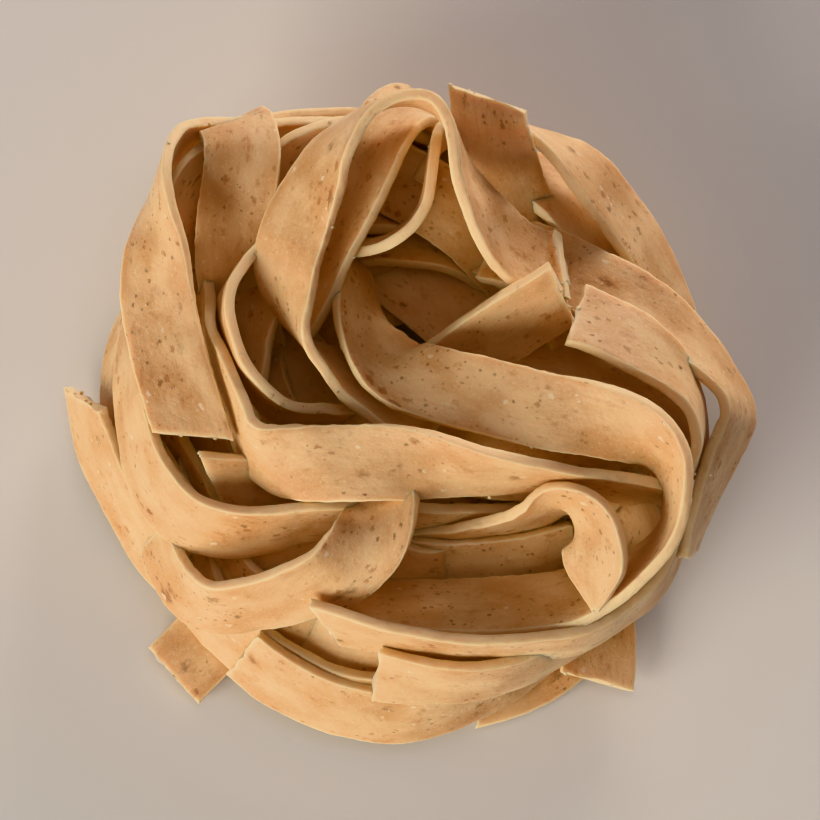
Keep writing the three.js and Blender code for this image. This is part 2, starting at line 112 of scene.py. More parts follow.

# Each ribbon's route, given in millimetres: x, y and z of the middle of its width, then its
# roll in degrees about its own path. At 0 it lies flat, at 90 it stands on edge with its left side
# up, and at -90 with its right side up. A fifth number narrows an end that is cut to a point.
STRANDS = {
    "left_front": (
        (-25.1, -2.9, 19, -8), (-26.3, 1, 19.4, -8), (-27.8, 6, 20.4, -10), (-28.8, 11, 21.5, -14),
        (-28.9, 15.5, 22.5, -32), (-28.8, 19.5, 22.4, -60), (-28.7, 22.6, 21.8, -76), (-28, 25.2, 20, -88),
        (-26.2, 27.6, 16.8, -96), (-22.8, 29.6, 13.4, -100), (-17.5, 31.2, 11, -100), (-11, 32, 9.8, -96),
        (-5, 31.4, 9.4, -94), (1, 30.4, 9, -92),
    ),
    "left_inside": (
        (-24.6, 9, 8.5, 40), (-25.2, 14, 10.6, 44), (-26, 18.6, 13.2, 48), (-26, 22.4, 15.8, 48),
        (-24.3, 25.2, 16.8, 48), (-21, 27, 14.6, 54), (-16.8, 28.4, 12.6, 60), (-12, 29.2, 11.2, 64),
        (-7, 29.4, 10, 68), (-2, 28.8, 9, 70), (3, 27.4, 8.4, 70),
    ),
    "left_top": (
        (-17.5, 2, 3, -35), (-19.2, 6.5, 6.5, -25), (-20.4, 11, 10, -18), (-21, 16, 13.8, -14),
        (-20.6, 20.6, 17.8, -10), (-20, 24.2, 20.8, -4), (-19.9, 27, 21.3, 2), (-20.4, 29.2, 19.6, 6),
        (-21, 30.5, 16, 8), (-21.4, 31.1, 11.5, 8),
    ),
    "lit_strip": (
        (-14.9, 19.4, 14, 40), (-15.5, 22.4, 16, 42), (-14.8, 25.2, 17, 46), (-13, 27.2, 17, 54),
        (-10, 28.6, 16, 62), (-5.5, 29.2, 14.4, 74), (-1.5, 28.4, 12, 78), (3, 27.6, 10.6, 78),
    ),
    "arch": (
        (-0.5, -1.6, 14.5, -140), (-5, 1.1, 15.8, -130), (-9.5, 4.4, 17.2, -122), (-13, 7.1, 18.8, -98),
        (-14.9, 10.5, 20.2, -72), (-15.6, 14.2, 22, -38), (-14.4, 18.7, 24, -25), (-12.2, 23.2, 26.3, -42),
        (-10, 27, 27.8, -62), (-6.8, 30.1, 28.3, -76), (-2.9, 31.4, 28.5, -82), (0.4, 30.3, 28.3, -86),
        (1.9, 27, 27.8, -86), (3.2, 23, 27, -72), (5.4, 19.4, 25, -50), (8.2, 16.4, 22.2, -34),
        (11.2, 14.9, 20.8, -22), (13.3, 14.6, 22.4, -14),
    ),
    "thin_left": (
        (-15, 21.4, 12.2, 84), (-16.8, 19.1, 13, 84), (-19.8, 15.6, 16.6, 86), (-22.1, 11.4, 18.8, 86),
        (-21.4, 7, 19, 86), (-19.3, 3.2, 18, 86), (-16.3, 0.8, 16.5, 86), (-12.8, 0.3, 14.3, 84),
        (-8.5, 0.2, 11.8, 78), (-3, 0.6, 9.8, 70),
    ),
    "loop_face": (
        (-15.8, 18.5, 7, 20), (-17.2, 13.5, 8.4, 16), (-16.6, 8.5, 9.4, 10), (-13.8, 4.4, 10, 4),
        (-9.4, 1.6, 10, 0), (-4, -0.4, 9.6, 0),
    ),
    "inner_left": (
        (-0.6, 30.8, 12, 25), (-3, 30.2, 18.4, 28), (-5.2, 27.6, 22.4, 32), (-7, 23.5, 22.6, 36),
        (-9.3, 18.9, 20.8, 38), (-12, 14.5, 17.8, 40), (-14.4, 10.6, 14.8, 45),
    ),
    "thin_top": (
        (2, 29.5, 12, 78), (0.5, 28.8, 16.2, 84), (-0.6, 27.2, 20, 88), (-1.1, 24.5, 21.4, 88),
        (-2.2, 20.8, 21.2, 84), (-4.4, 18.6, 20.5, 76), (-7.6, 17.6, 18.6, 70), (-11, 18.2, 15, 68),
        (-14.5, 20.5, 12, 70),
    ),
    "top_end": (
        (5.1, 31.6, 26, 14), (5.4, 28.6, 25, 12), (6.5, 25.4, 21, 0), (8.2, 22.2, 14.8, -12),
        (11, 18.8, 11.2, -20), (14.8, 15, 9.8, -28), (19.6, 10.8, 9.2, -36), (24, 5.8, 8.8, -48),
    ),
    "right_broad": (
        (5.8, 18.7, 13.2, -22), (10.2, 17.1, 15.6, -19), (15.1, 14.5, 17.4, -17), (20.1, 11.8, 18.6, -20),
        (24.8, 8.8, 18.2, -38), (28.8, 5, 17.6, -56), (31, 0.6, 16.6, -66), (29.2, -4.2, 15.2, -70),
        (27.3, -8.3, 14, -74), (25.9, -12, 13, -78), (25.4, -14, 12.4, -80),
    ),
    "right_outer": (
        (7, 30.4, 13, -80), (9.4, 29.8, 16, -80), (12.4, 28, 18, -66), (15.8, 25, 17.4, -52),
        (19.4, 21, 14.8, -50), (22.6, 16.2, 12.6, -54), (24.6, 10.8, 11.2, -58), (25, 5, 10.4, -60),
        (23.8, -0.5, 9.8, -60), (21, -5.5, 9.4, -55),
    ),
    "right_dark": (
        (1, 28.5, 9, -50), (6.6, 27.4, 10.8, -46), (11.6, 24.2, 11.8, -42), (15.4, 19.8, 11.2, -42),
        (19, 15, 9.8, -48), (21.6, 9.6, 9, -54), (22.2, 4, 8.6, -58),
    ),
    "hollow_end": (
        (-4, 1.2, 12, 40), (0.6, 4.2, 15.5, 42), (5.2, 7.1, 19, 45), (9.3, 9.4, 22, 46),
        (13.1, 11.5, 24.2, 46),
    ),
    "right_end": (
        (14.5, 9.1, 23.5, -30), (18.2, 7.6, 23.7, -34), (21.5, 5.7, 23.6, -40), (24.6, 3.2, 22.8, -54),
        (27, 0, 21.6, -72), (27.5, -3.9, 19.6, -84), (26.2, -7.4, 17.6, -84),
    ),
    "fleck_band": (
        (5, 6.5, 10, -45), (10.5, 5.6, 13, -42), (16, 4, 15.3, -42), (21, 1.8, 16.2, -48),
        (24.8, -1.2, 16, -58), (25.8, -4.8, 15, -64),
    ),
    "great_s": (
        (-13.4, 20.6, 12.5, -70), (-10.8, 18.4, 13, -74), (-8.9, 15.9, 14.4, -74), (-8.5, 13, 16.3, -64),
        (-7.5, 8.8, 19.2, -46), (-4.3, 3.9, 22.2, -18), (0.8, 1.6, 24.3, -4), (6, 0, 26, 4),
        (11.2, -1.6, 27, 12), (16.2, -2.6, 27.3, 30), (20.6, -3.9, 26.8, 46), (23.8, -6.2, 25.8, 64),
        (25.2, -9.8, 24.5, 76), (24.7, -13.6, 22.8, 78), (22.3, -17, 20.8, 70), (18.5, -19.4, 18.8, 54),
        (13.5, -20.7, 17, 40), (8, -21, 15.4, 36), (2.5, -20.7, 13.8, 38), (-3, -19.6, 12.2, 42),
        (-9, -17.5, 10.6, 48),
    ),
    "mid_dark": (
        (-12, -1, 10, 24), (-7, -2.2, 12, 20), (-1.5, -3.4, 14, 16), (4.5, -4.4, 15.4, 14),
        (10.5, -5.2, 15.8, 14), (16, -5.8, 15.4, 18), (20.6, -7.2, 14.2, 30),
    ),
    "fold_band": (
        (-24.4, 12.5, 9.5, 66), (-23.4, 7.8, 14.2, 72), (-21.8, 3, 17.8, 74), (-20.3, -0.9, 18.8, 76),
        (-19.1, -4, 19.6, 70), (-16.6, -5.6, 20.8, 44), (-13, -6.2, 22.3, 20), (-9, -6.4, 23.6, 6),
        (-4, -6.4, 24.4, 26), (1, -6.7, 24.3, 50), (6, -7.3, 23.6, 68), (10.5, -7.5, 22.4, 80),
        (15, -7.6, 20.6, 86), (19.4, -7.9, 18.8, 84), (22.6, -8.6, 17, 80), (24.4, -9.8, 15.8, 74),
    ),
    "fold_left": (
        (-29.2, -11, 7.6, 66), (-28, -14.5, 8.8, 66), (-25.8, -17.8, 11, 64), (-22.4, -20.1, 14.4, 65),
        (-18, -20.1, 17.2, 60), (-13.6, -19.1, 19.4, 54), (-9.8, -17.6, 20.8, 38), (-6.8, -14.6, 21.6, 6),
        (-5.2, -10.8, 21, -28), (-5.2, -7, 19, -48), (-6.6, -3, 16, -52), (-9.5, 0.5, 13, -52),
    ),
    "left_band": (
        (-28, 17, 13, 70), (-30.4, 12, 13.4, 70), (-31.5, 6, 13.4, 70), (-31.2, 0, 13.4, 66),
        (-29.9, -5.6, 14, 60), (-27, -9.9, 15, 58), (-23, -12, 16, 63), (-18.5, -12.3, 16.6, 70),
        (-14, -11.6, 17, 78), (-9, -11, 16.5, 84), (-4, -11, 15, 80), (2, -11.5, 12.6, 72),
        (8, -11.4, 10.6, 64), (13, -10.4, 9, 58),
    ),
    "pale_end": (
        (-23.1, -7.9, 17, 48), (-19.5, -8.1, 15.8, 46), (-15, -8.3, 14.8, 48), (-10, -8, 13.6, 54),
        (-5, -6.8, 12.4, 60),
    ),
    "lit_low": (
        (-30, -3.5, 6.4, 58), (-27.8, -8, 7.6, 52), (-25, -11.8, 8.8, 42), (-21.4, -14.4, 9.6, 36),
        (-17.4, -15, 10, 34), (-13.2, -13.6, 10, 38), (-8.6, -11, 9.6, 48),
    ),
    "tip_left": (
        (-36.9, 3.6, 6, 66), (-36, -0.3, 6, 64), (-34.3, -4.4, 6.2, 62), (-32, -9, 6, 60),
        (-29.4, -12.8, 5, 58), (-25.8, -16, 4.6, 52), (-21.5, -18, 4.4, 44), (-16, -18.6, 4.2, 36),
    ),
    "back_left": (
        (-26.5, 19.5, 8.5, 72), (-30, 14.6, 8.5, 70), (-32.8, 9.2, 8, 68), (-33.6, 3.2, 7.2, 66),
        (-32.6, -3, 6.2, 66), (-30.2, -9, 5.2, 68), (-26.5, -14.8, 4.8, 70),
    ),
    "tab_left": (
        (-27.8, -25.6, 1.8, 2), (-24.2, -22, 2.6, 4), (-20, -17.6, 3.4, 6), (-15, -12.6, 4, 6),
        (-9.5, -7.5, 4, 4),
    ),
    "low_front": (
        (-20, -23.2, 6.2, 50), (-17.4, -25.3, 6, 50), (-14.1, -27.1, 5.8, 52), (-9.4, -29, 5.4, 54),
        (-4.3, -29.7, 5.2, 56), (0.8, -29, 5.4, 60), (5.6, -26.8, 5.4, 60), (9.8, -23.6, 5, 56),
        (13.2, -19.8, 4.4, 48), (15.6, -15.9, 4, 40),
    ),
    "fleck_low": (
        (-20, -13, 6.5, 45), (-17.6, -17.4, 8, 40), (-14, -21.2, 9, 34), (-9, -23.4, 9.4, 32),
        (-3.5, -24.2, 9.8, 38), (2.5, -23.9, 10, 50), (8.5, -22.2, 9.8, 56), (13.5, -19.6, 9.4, 58),
    ),
    "rim_low": (
        (-11.6, -21.8, 17.6, 76), (-6.5, -23.1, 18.2, 82), (-1.5, -23.9, 18.2, 85), (4, -24.5, 17.8, 86),
        (9.3, -24.2, 17.2, 86), (14.6, -22.9, 16.4, 86), (19.2, -20.2, 15.6, 86), (22.8, -16.8, 15, 86),
        (25, -13, 14.4, 86), (25.6, -9.6, 13.6, 84), (25, -6, 12.4, 80),
    ),
    "cream_low": (
        (-6.4, -26.1, 13, 56), (-2.3, -26.9, 13, 64), (2.5, -27, 12.8, 70), (7.8, -26.1, 12, 76),
        (13, -23.8, 10.8, 80), (17.6, -20.6, 10, 82), (21, -17.2, 9.6, 82), (22.8, -13.2, 9.2, 80),
        (23.2, -9.2, 8.8, 78),
    ),
    "tab_front": (
        (17.1, -26.4, 2.9, 8), (17.3, -22.5, 3, 6), (16.8, -17.5, 3.2, 6), (15, -12, 3.6, 6),
        (11.5, -7, 4, 6),
    ),
    "tab_low": (
        (4.6, -27, 1.3, 4), (8.4, -25.8, 1.3, 4), (12.2, -23.6, 1.4, 5), (15.6, -20, 1.6, 6),
        (18, -15.5, 1.8, 6),
    ),
    "curl": (
        (-1, -13.2, 10, 58), (3, -12.6, 11.6, 66), (7, -11.6, 14.4, 76), (10.4, -10.7, 17.6, 86),
        (13.2, -10.1, 20.2, 84), (15.5, -11.7, 21.6, 62), (16.6, -14, 22, 45),
        (16.9, -16.7, 21.5, 38, 0.95), (17.1, -18.9, 20.5, 36, 0.55), (17.3, -21, 19.2, 36, 0.1),
    ),
    "lit_bend": (
        (10, -5.2, 10, 54), (15, -6, 11.6, 50), (19.6, -8, 13, 48), (22, -11.6, 13.2, 48),
        (21.2, -15.2, 12.2, 46), (17.6, -17.6, 11, 44), (12.5, -18.2, 10, 42),
    ),
    "mid_low": (
        (-9, -12.5, 8, 48), (-4.6, -15, 9.4, 42), (0.4, -15.9, 10.4, 40), (5.4, -16.1, 10.8, 40),
        (10.4, -15.8, 10.4, 40), (15, -14.8, 9.6, 42),
    ),
    "dim_mid": (
        (-9.5, -10.5, 9, 46), (-4, -9.9, 10.6, 42), (1, -9.7, 12, 40), (6, -8.8, 13.2, 44),
        (11, -7.6, 14, 50),
    ),
    "far_wall": (
        (-14, 23.5, 8.5, 10), (-9.5, 21, 9, 8), (-5, 17.8, 9, 6), (-1, 14.7, 9, 6), (3, 11.3, 9.3, 8),
        (7, 8, 9.8, 12), (11, 4.5, 10, 20),
    ),
    "far_wall_high": (
        (-11, 26, 10, 30), (-6, 24.8, 12.5, 28), (-1, 22.6, 13.6, 26), (4, 19.6, 13, 24),
        (8.5, 15.8, 10.8, 24), (13, 11.4, 9, 24),
    ),
}

# How far each cut end is off square, as the shift of one edge past the other over the ribbon's width
CUT_SLANTS = {
    "left_front": (0.42, 0.0),
    "top_end": (0.42, 0.0),
    "arch": (0.0, -0.45),
    "right_end": (-0.06, 0.0),
    "hollow_end": (0.0, 0.31),
    "pale_end": (-0.7, 0.0),
    "rim_low": (-0.35, 0.0),
    "tab_left": (0.05, 0.0),
    "tab_front": (0.15, 0.0),
    "tab_low": (0.3, 0.0),
    "tip_left": (0.55, 0.0),
}


# ---------------------------------------------------------------- routes


def catmull_rom(points, per_span):
    """A smooth path through listed points, as rows of the same numbers."""
    points = np.asarray(points, float)
    first = 2 * points[0] - points[1]
    last = 2 * points[-1] - points[-2]
    extended = np.vstack([first, points, last])
    shares = np.arange(per_span)[:, None] / per_span
    rows = []
    for span in range(len(points) - 1):
        a, b, c, d = extended[span : span + 4]
        rows.append(
            0.5
            * (
                2 * b
                + (c - a) * shares
                + (2 * a - 5 * b + 4 * c - d) * shares**2
                + (3 * b - a - 3 * c + d) * shares**3
            )
        )
    rows.append(points[-1:])
    return np.vstack(rows)


def unit(rows):
    return rows / np.maximum(np.linalg.norm(rows, axis=1), 1e-9)[:, None]


def follow(stations, step):
    """One ribbon's path at even steps: middle, across, facing and heading directions, and narrowing."""
    full = [tuple(s) + (1.0,) * (5 - len(s)) for s in stations]
    fine = catmull_rom(full, 12)
    gaps = np.linalg.norm(np.diff(fine[:, :3], axis=0), axis=1)
    run = np.concatenate([[0.0], np.cumsum(gaps)])
    count = max(4, int(round(run[-1] / step)))
    at = np.linspace(0.0, run[-1], count + 1)
    rows = np.stack([np.interp(at, run, fine[:, k]) for k in range(5)], axis=1)
    heading = unit(np.gradient(rows[:, :3], axis=0))
    level = unit(np.cross((0.0, 0.0, 1.0), heading))
    rise = np.cross(heading, level)
    roll = np.radians(rows[:, 3])[:, None]
    across = level * np.cos(roll) + rise * np.sin(roll)
    facing = np.cross(heading, across)
    return {
        "middle": rows[:, :3] + np.array(NEST_SHIFT),
        "across": across,
        "facing": facing,
        "heading": heading,
        "narrow": rows[:, 4],
        "run": at,
    }


def even_rows(stations, step):
    """A ribbon's stations smoothed, and spaced evenly along it."""
    full = [tuple(s) + (1.0,) * (5 - len(s)) for s in stations]
    fine = catmull_rom(full, 24)
    run = np.concatenate([[0.0], np.cumsum(np.linalg.norm(np.diff(fine[:, :3], axis=0), axis=1))])
    count = max(3, int(round(run[-1] / step)))
    at = np.linspace(0.0, run[-1], count + 1)
    return np.stack([np.interp(at, run, fine[:, k]) for k in range(5)], axis=1)


def settle(ribbons, freedom):
    """Presses the ribbons against each other until they lie face to face, as they do before they dry.

    ribbons is a list of rows x, y, z, roll and narrowing at even steps, and freedom says how far each
    one gives way in plan, in height and in turning over. Each place on a ribbon is pushed off the
    ribbons that it would cut through, to the side that it is mostly on, and the push is eased along
    the ribbon.
    """
    rows = np.vstack(ribbons)
    lengths = [len(r) for r in ribbons]
    which = np.repeat(np.arange(len(ribbons)), lengths)
    index = np.concatenate([np.arange(n) for n in lengths])
    everyone = np.arange(len(rows))
    first = index == 0
    last = np.append(first[1:], True)
    before = np.where(first, everyone, everyone - 1)
    after = np.where(last, everyone, everyone + 1)
    home, home_roll = rows[:, :3].copy(), np.radians(rows[:, 3])
    spot, roll = home.copy(), home_roll.copy()
    freedom = np.array(freedom, float)[which]
    give = freedom[:, (0, 0, 1)]
    places = np.linspace(-HALF_WIDTH, HALF_WIDTH, 9)
    for turn in range(SETTLE_ROUNDS):
        heading = unit(spot[after] - spot[before])
        level = unit(np.cross((0.0, 0.0, 1.0), heading))
        across = level * np.cos(roll)[:, None] + np.cross(heading, level) * np.sin(roll)[:, None]
        facing = np.cross(heading, across)
        if turn % 8 == 0:
            gaps = ((spot[:, None, :] - spot[None, :, :]) ** 2).sum(axis=2)
            apart = np.abs(index[:, None] - index[None, :]) * SETTLE_STEP > SETTLE_OWN_RUN
            one, other = np.nonzero((gaps < SETTLE_NEAR**2) & ((which[:, None] != which[None, :]) | apart))
        offset = spot[one][:, None] + across[one][:, None] * places[None, :, None] - spot[other][:, None]
        along = (offset * heading[other][:, None]).sum(axis=2)
        aside = (offset * across[other][:, None]).sum(axis=2)
        above = (offset * facing[other][:, None]).sum(axis=2)
        meets = np.abs(along) < 0.62 * SETTLE_STEP
        meets &= (np.abs(aside) < HALF_WIDTH + 0.5) & (np.abs(above) < SETTLE_CATCH)
        kept = meets.any(axis=1)
        a, b, above, meets = one[kept], other[kept], above[kept], meets[kept]
        side = np.where((above * meets).sum(axis=1) >= 0, 1.0, -1.0)
        depth = np.clip(np.where(meets, SETTLE_GAP - side[:, None] * above, 0.0), 0.0, SETTLE_DEEPEST)
        most = depth.max(axis=1)
        push = (side * most)[:, None] * facing[b]
        move, hits = np.zeros_like(spot), np.zeros(len(spot))
        np.add.at(move, a, 0.5 * push)
        np.add.at(move, b, -0.5 * push)
        np.add.at(hits, a, most > 0)
        np.add.at(hits, b, most > 0)
        aligned = (facing[a] * facing[b]).sum(axis=1)
        lean = (depth * places).sum(axis=1) * side * aligned / (places**2).sum()
        spin, spins = np.zeros(len(spot)), np.zeros(len(spot))
        np.add.at(spin, a, lean)
        np.add.at(spins, a, most > 0)
        gone = spot + move / np.maximum(hits, 1)[:, None] * give - home
        turned = roll + 0.5 * np.clip(spin / np.maximum(spins, 1), -0.3, 0.3) * freedom[:, 2] - home_roll
        gone = SETTLE_KEEP * (0.5 * gone + 0.25 * (gone[before] + gone[after]))
        turned = SETTLE_KEEP * (0.5 * turned + 0.25 * (turned[before] + turned[after]))
        spot, roll = home + gone, home_roll + turned
        spot[:, 2] = np.maximum(spot[:, 2], HALF_WIDTH * np.abs(np.sin(roll)) + FLAT_HEIGHT)
    rows = np.column_stack([spot, np.degrees(roll), rows[:, 4]])
    return np.split(rows, np.cumsum(lengths)[:-1])


def ring_reach(angle):
    swell = sum(size * math.sin(waves * angle + turn) for waves, size, turn in RING_WAVES)
    return RING_RADIUS * (1 + swell)


def ring_place(angle, share):
    """A place in plan between the hollow's wall at share 0 and the ring's outside at share 1."""
    direction = Vector((math.cos(angle), math.sin(angle), 0.0))
    inner = HOLLOW_CENTRE + direction * HOLLOW_RADIUS
    outer = RING_CENTRE + direction * ring_reach(angle)
    return inner.lerp(outer, share)


def wound_turn(share, height, roll, turns, start, chance):
    """Stations of a ribbon wound round inside the ring, wandering in and out and up and down."""
    stations = []
    count = int(round(PLACES_PER_TURN * turns))
    swell = [chance.uniform(-1, 1) for _ in range(4)]
    phase = [chance.uniform(0, 2 * math.pi) for _ in range(4)]
    for place in range(count + 1):
        angle = start + 2 * math.pi * place / PLACES_PER_TURN
        drift = math.sin(angle * 1.0 + phase[0]) * swell[0] + math.sin(angle * 2.3 + phase[1]) * swell[1]
        lift = math.sin(angle * 1.4 + phase[2]) * swell[2] + math.sin(angle * 2.9 + phase[3]) * swell[3]
        spot = ring_place(angle, min(1.0, max(0.0, share + WOUND_WANDER * drift)))
        tilt = roll + 12 * drift
        half_rise = HALF_WIDTH * abs(math.sin(math.radians(tilt))) + 0.6
        stations.append((spot.x, spot.y, max(half_rise + 0.05, height + 1.6 * lift), tilt))
    return stations


# ---------------------------------------------------------------- making meshes


def linear(code):
    """An sRGB hex colour as linear RGBA."""
    parts = [int(code[k : k + 2], 16) / 255 for k in (1, 3, 5)]
    return tuple(p / 12.92 if p <= 0.04045 else ((p + 0.055) / 1.055) ** 2.4 for p in parts) + (1.0,)


def add_node(tree, kind, settings=None, values=None, links=None):
    """Adds a node, with its settings, its sockets' values, and links into its sockets."""
    node = tree.nodes.new(kind)
    for name, value in (settings or {}).items():
        setattr(node, name, value)
    for socket, value in (values or {}).items():
        node.inputs[socket].default_value = value
    for socket, source in (links or {}).items():
        tree.links.new(source, node.inputs[socket])
    return node


def route_mesh(name, ribbons, step, chance):
    """The ribbons' middle lines as one mesh of edges, with what the sweep needs stored at each point."""
    middles, edges = [], []
    keys = ("across", "facing", "heading", "narrow", "dough_run", "end_pull", "cut_slant")
    kept = {key: [] for key in keys}
    for label, stations in ribbons:
        path = follow(stations, step / MM)
        first = len(middles)
        count = len(path["run"])
        middles.extend(Vector(p) * MM for p in path["middle"])
        edges.extend((first + k, first + k + 1) for k in range(count - 1))
        slants = CUT_SLANTS.get(label, (0.0, 0.0))
        from_start = path["run"]
        from_end = path["run"][-1] - path["run"]
        for k in range(count):
            start_share = max(0.0, 1 - from_start[k] / SLANT_REACH)
            end_share = max(0.0, 1 - from_end[k] / SLANT_REACH)
            start_pull = math.exp(-from_start[k] / CUT_REACH)
            kept["end_pull"].append(-start_pull + math.exp(-from_end[k] / CUT_REACH))
            kept["cut_slant"].append(slants[0] * start_share + slants[1] * end_share)
        for key in ("across", "facing", "heading"):
            kept[key].extend(path[key])
        kept["narrow"].extend(path["narrow"])
        offset = chance.uniform(0, 400)
        kept["dough_run"].extend((path["run"] + offset) * MM)
    mesh = bpy.data.meshes.new(name)
    mesh.from_pydata(middles, edges, [])
    for key, values in kept.items():
        values = np.asarray(values, float)
        if values.ndim == 2:
            mesh.attributes.new(key, "FLOAT_VECTOR", "POINT").data.foreach_set("vector", values.ravel())
        else:
            mesh.attributes.new(key, "FLOAT", "POINT").data.foreach_set("value", values)
    piece = bpy.data.objects.new(name, mesh)
    bpy.context.scene.collection.objects.link(piece)
    return piece


def section_object(settings):
    """The ribbon's cut section: two faces, and edges just rounded off, as a closed line in X and Z."""
    half = settings.ribbon_width / 2
    deep = settings.ribbon_thickness / 2
    rounding = settings.edge_rounding
    shares = (-1.0, -0.84, -0.58, -0.29, 0.0, 0.29, 0.58, 0.84, 1.0)
    face = [(share * (half - rounding), deep) for share in shares]
    edge = [(half - 0.25 * rounding, deep - 0.35 * rounding), (half, 0.3 * deep), (half, -0.3 * deep)]
    edge.append((half - 0.25 * rounding, -deep + 0.35 * rounding))
    loop = face + edge + [(-x, -z) for x, z in face] + [(-x, -z) for x, z in edge]
    mesh = bpy.data.meshes.new("ribbon section")
    count = len(loop)
    mesh.from_pydata([(x, 0.0, z) for x, z in loop], [(k, (k + 1) % count) for k in range(count)], [])
    mesh.attributes.new("section_x", "FLOAT", "POINT").data.foreach_set("value", [x for x, z in loop])
    mesh.attributes.new("section_z", "FLOAT", "POINT").data.foreach_set("value", [z for x, z in loop])
    section = bpy.data.objects.new("ribbon_section", mesh)
    bpy.context.scene.collection.objects.link(section)
    return section


def named(tree, name, kind):
    node = add_node(tree, "GeometryNodeInputNamedAttribute", {"data_type": kind}, {"Name": name})
    return node.outputs["Attribute"]


def stored(tree, name, kind, geometry, value):
    """The geometry with a value kept on its points under a name."""
    return add_node(
        tree,
        "GeometryNodeStoreNamedAttribute",
        {"data_type": kind, "domain": "POINT"},
        {"Name": name},
        {"Geometry": geometry, "Value": value},
    ).outputs[0]


def moved(tree, spot, way, amount):
    """A place moved some way along a direction."""
    step = scaled(tree, way, amount)
    return add_node(tree, "ShaderNodeVectorMath", {"operation": "ADD"}, links={0: spot, 1: step}).outputs[0]


def scaled(tree, vector, amount):
    links = {0: vector, "Scale": amount}
    return add_node(tree, "ShaderNodeVectorMath", {"operation": "SCALE"}, links=links).outputs[0]


def maths(tree, operation, *operands):
    """One step of arithmetic, on plain numbers and on what other nodes give."""
    node = add_node(tree, "ShaderNodeMath", {"operation": operation})
    for place, operand in enumerate(operands):
        if isinstance(operand, (int, float)):
            node.inputs[place].default_value = operand
        else:
            tree.links.new(operand, node.inputs[place])
    return node.outputs[0]


def times(tree, first, second):
    return maths(tree, "MULTIPLY", first, second)


def finished(tree, geometry, material):
    """Shades the geometry smooth, makes its instances real, and gives it its material."""
    smooth = add_node(tree, "GeometryNodeSetShadeSmooth", links={"Geometry": geometry}).outputs[0]
    real = add_node(tree, "GeometryNodeRealizeInstances", links={"Geometry": smooth}).outputs[0]
    links = {"Geometry": real, "Material": material}
    done = add_node(tree, "GeometryNodeSetMaterial", links=links).outputs[0]
    tree.links.new(done, tree.nodes.new("NodeGroupOutput").inputs[0])


def swing(tree, vector, size_mm, detail):
    """Noise from -1 to 1 whose waves are about size_mm across."""
    noise = add_node(
        tree,
        "ShaderNodeTexNoise",
        {"noise_dimensions": "3D"},
        {"Scale": 1 / (size_mm * MM), "Detail": detail, "Roughness": 0.55},
        {"Vector": vector},
    )
    stretch = add_node(
        tree,
        "ShaderNodeMapRange",
        {"clamp": False},
        {"From Min": 0.25, "From Max": 0.75, "To Min": -1.0, "To Max": 1.0},
        {"Value": noise.outputs[0]},
    )
    return stretch.outputs[0]


